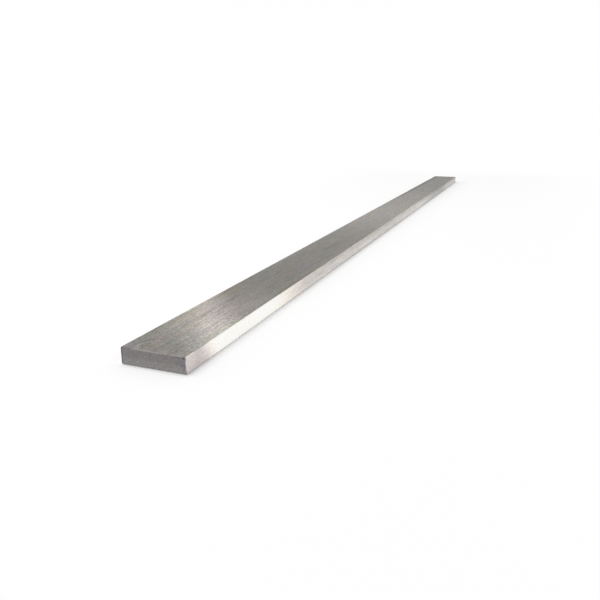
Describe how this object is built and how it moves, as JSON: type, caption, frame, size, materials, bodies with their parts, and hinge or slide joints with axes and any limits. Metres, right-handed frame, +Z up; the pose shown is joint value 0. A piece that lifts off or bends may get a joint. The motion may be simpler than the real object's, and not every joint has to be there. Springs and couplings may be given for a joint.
{
  "type": "flat bar",
  "caption": "Solid rectangular steel bar with small rolled corners, flat broad faces and shear-cut ends; raw stock for frames and brackets.",
  "frame": {"origin": "middle of the broad face that the bar lies on, halfway along its length and its width", "axes": "+X along the bar, +Y across its width, +Z up through its thickness"},
  "size_m": [1, 0.04, 0.01],
  "materials": {
    "pickled_steel": "hot rolled, annealed and pickled: dull silver-grey broad faces with lengthwise rolling streaks and handling stains, brighter narrow faces, sheared ends"
  },
  "bodies": {
    "root": {"flat_bar": "pickled_steel"}
  },
  "joints": []
}
